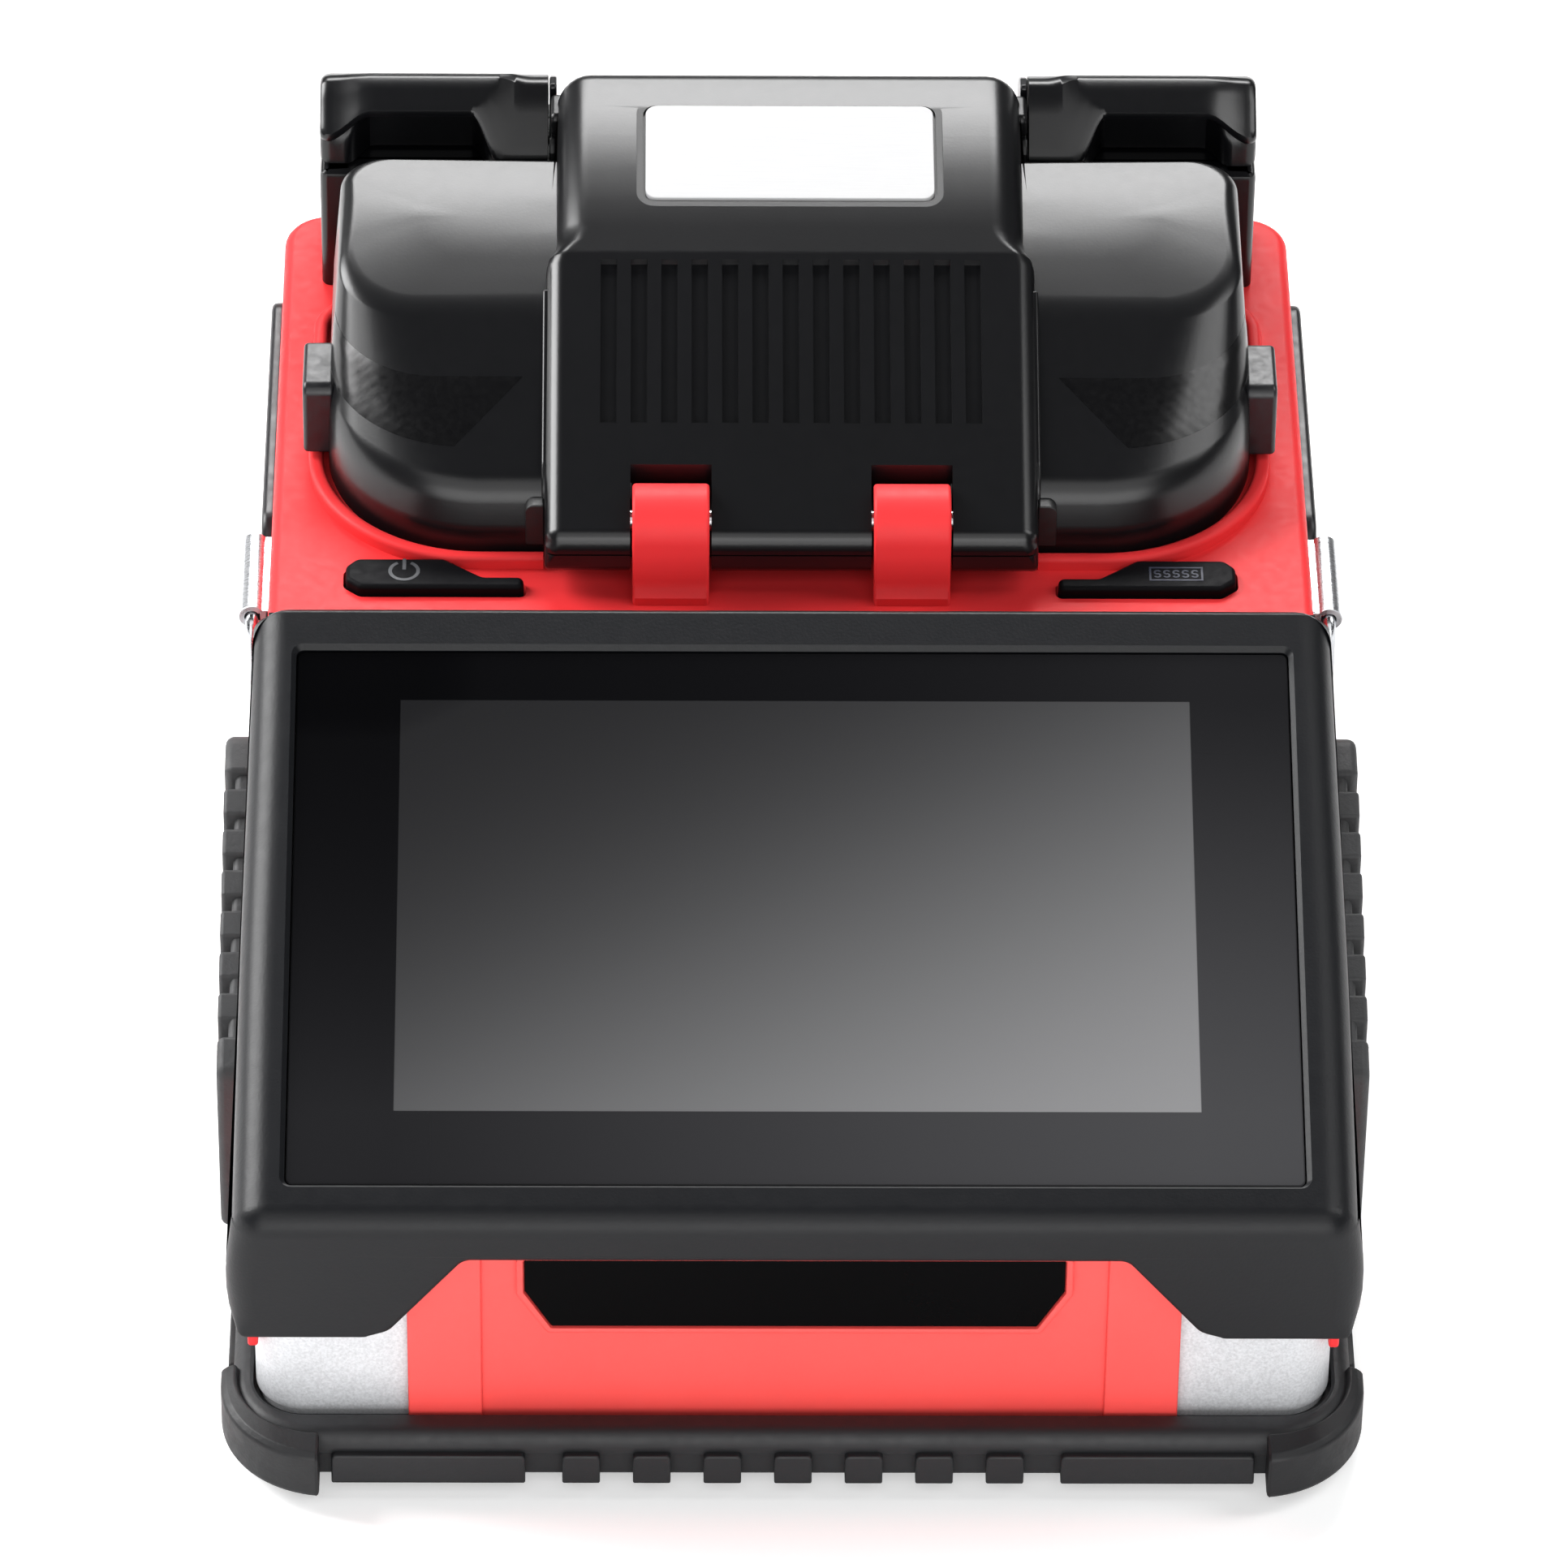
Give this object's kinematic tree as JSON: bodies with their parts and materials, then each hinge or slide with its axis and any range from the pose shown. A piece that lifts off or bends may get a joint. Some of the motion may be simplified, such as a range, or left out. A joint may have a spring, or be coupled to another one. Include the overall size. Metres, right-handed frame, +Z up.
{
  "type": "fiber fusion splicer",
  "caption": "Portable fibre fusion splicer with tilting display, hinged wind cover over the splicing chamber, rear sleeve heater and rubber bumper boot.",
  "frame": {"origin": "on the ground plane under the centre of the machine's outline", "axes": "+X to the operator's right, +Y to the rear, +Z up"},
  "size_m": [0.1566, 0.2078, 0.1034],
  "materials": {
    "boot_rubber": "matt moulded rubber",
    "guard_rubber": "matt moulded rubber",
    "grip_rubber": "grained rubber",
    "gasket_rubber": "foam rubber",
    "silver_metal": "bead blasted, satin",
    "machined_aluminium": "machined",
    "black_metal": "black anodised",
    "steel": "ground steel",
    "stainless": "rolled stainless sheet and wire",
    "brass": "turned brass",
    "red_plastic": "satin moulded red plastic",
    "bezel_plastic": "grained dark grey plastic",
    "black_plastic": "matt black plastic",
    "satin_black": "satin black with a fine spark texture",
    "gloss_black": "polished black",
    "key_rubber": "matt silicone rubber",
    "screen_glass": "clear cover glass with a black printed border",
    "lcd": "dark liquid crystal panel",
    "circuit_board": "green solder mask",
    "brushed_plate": "fine brushed plate",
    "lamp_white": "white diffuser",
    "ceramic_white": "white ceramic",
    "battery_wrap": "blue shrink wrap"
  },
  "bodies": {
    "base": {"rubber_feet": "boot_rubber", "boot": "boot_rubber", "corner_guards": "guard_rubber", "lower_tub": "silver_metal", "bottom_plate": "black_plastic", "bottom_screws": "steel", "tripod_insert": "brass", "upper_case": "red_plastic", "front_panel": "red_plastic", "name_plate": "gloss_black", "side_cover_left": "black_plastic", "side_cover_right": "black_plastic", "side_grip_left": "grip_rubber", "side_grip_right": "grip_rubber", "strap_bracket_left": "stainless", "strap_bracket_right": "stainless", "cover_hinge_knuckles": "red_plastic", "display_hinge_brackets": "steel", "display_hinge_pins": "steel", "key_board": "circuit_board", "chamber_gasket": "gasket_rubber", "chamber_tray": "black_plastic", "chamber_base": "machined_aluminium", "v_groove_blocks": "ceramic_white", "electrodes": "steel", "electrode_holders": "ceramic_white", "objective_lenses": "black_metal", "camera_board": "circuit_board", "stage_rails": "steel", "stage_motors": "steel", "heater_housing": "satin_black", "heater_trough": "machined_aluminium", "heater_lid_pins": "steel", "battery_pack": "battery_wrap", "main_board": "circuit_board", "port_panel": "black_plastic"},
    "display": {"display_frame": "bezel_plastic", "display_back": "bezel_plastic", "display_glass": "screen_glass", "lcd_panel": "lcd", "display_board": "circuit_board"},
    "wind_cover": {"wind_cover_shell": "satin_black", "cover_center_block": "satin_black", "cover_label_plate": "brushed_plate", "cover_hinge_pin": "steel", "cover_side_tabs": "black_plastic", "fiber_press_arms": "black_plastic", "cover_lamp": "lamp_white"},
    "latch_left": {"cover_latch_left": "gloss_black"},
    "latch_right": {"cover_latch_right": "gloss_black"},
    "power_key": {"power_button": "key_rubber"},
    "heat_key": {"heat_button": "key_rubber"},
    "ring_left": {"strap_ring_left": "stainless"},
    "ring_right": {"strap_ring_right": "stainless"},
    "heater_lid_left_body": {"heater_lid_left": "satin_black"},
    "heater_lid_right_body": {"heater_lid_right": "satin_black"},
    "stage_left_body": {"stage_left": "machined_aluminium"},
    "stage_right_body": {"stage_right": "machined_aluminium"},
    "clamp_left": {"sheath_clamp_left": "black_metal"},
    "clamp_right": {"sheath_clamp_right": "black_metal"}
  },
  "joints": [
    {"name": "wind_cover_hinge", "type": "hinge", "parent": "base", "child": "wind_cover", "pos_m": [0, 0.012, 0.0795], "axis": [1, 0, 0], "range_deg": [0, 75]},
    {"name": "display_hinge", "type": "hinge", "parent": "base", "child": "display", "pos_m": [0, -0.01106, 0.07004], "axis": [-1, 0, 0], "range_deg": [0, 95]},
    {"name": "heater_lid_left_hinge", "type": "hinge", "parent": "base", "child": "heater_lid_left_body", "pos_m": [-0.051, 0.093, 0.093], "axis": [-1, 0, 0], "range_deg": [0, 75]},
    {"name": "heater_lid_right_hinge", "type": "hinge", "parent": "base", "child": "heater_lid_right_body", "pos_m": [0.051, 0.093, 0.093], "axis": [-1, 0, 0], "range_deg": [0, 75]},
    {"name": "power_button_press", "type": "slide", "parent": "base", "child": "power_key", "axis": [0, 0, -1], "range_m": [0, 0.0008]},
    {"name": "heat_button_press", "type": "slide", "parent": "base", "child": "heat_key", "axis": [0, 0, -1], "range_m": [0, 0.0008]},
    {"name": "strap_ring_left_swing", "type": "hinge", "parent": "base", "child": "ring_left", "pos_m": [-0.07505, 0.015, 0.0664], "axis": [0, 1, 0], "range_deg": [0, 150]},
    {"name": "strap_ring_right_swing", "type": "hinge", "parent": "base", "child": "ring_right", "pos_m": [0.07505, 0.015, 0.0664], "axis": [0, -1, 0], "range_deg": [0, 150]},
    {"name": "latch_left_press", "type": "slide", "parent": "wind_cover", "child": "latch_left", "axis": [1, 0, 0], "range_m": [0, 0.001]},
    {"name": "latch_right_press", "type": "slide", "parent": "wind_cover", "child": "latch_right", "axis": [-1, 0, 0], "range_m": [0, 0.001]},
    {"name": "stage_left_travel", "type": "slide", "parent": "base", "child": "stage_left_body", "axis": [1, 0, 0], "range_m": [-0.002, 0.002]},
    {"name": "stage_right_travel", "type": "slide", "parent": "base", "child": "stage_right_body", "axis": [-1, 0, 0], "range_m": [-0.002, 0.002]},
    {"name": "sheath_clamp_left_hinge", "type": "hinge", "parent": "stage_left_body", "child": "clamp_left", "pos_m": [-0.025, 0.0543, 0.066], "axis": [-1, 0, 0], "range_deg": [0, 85]},
    {"name": "sheath_clamp_right_hinge", "type": "hinge", "parent": "stage_right_body", "child": "clamp_right", "pos_m": [0.025, 0.0543, 0.066], "axis": [-1, 0, 0], "range_deg": [0, 85]}
  ]
}
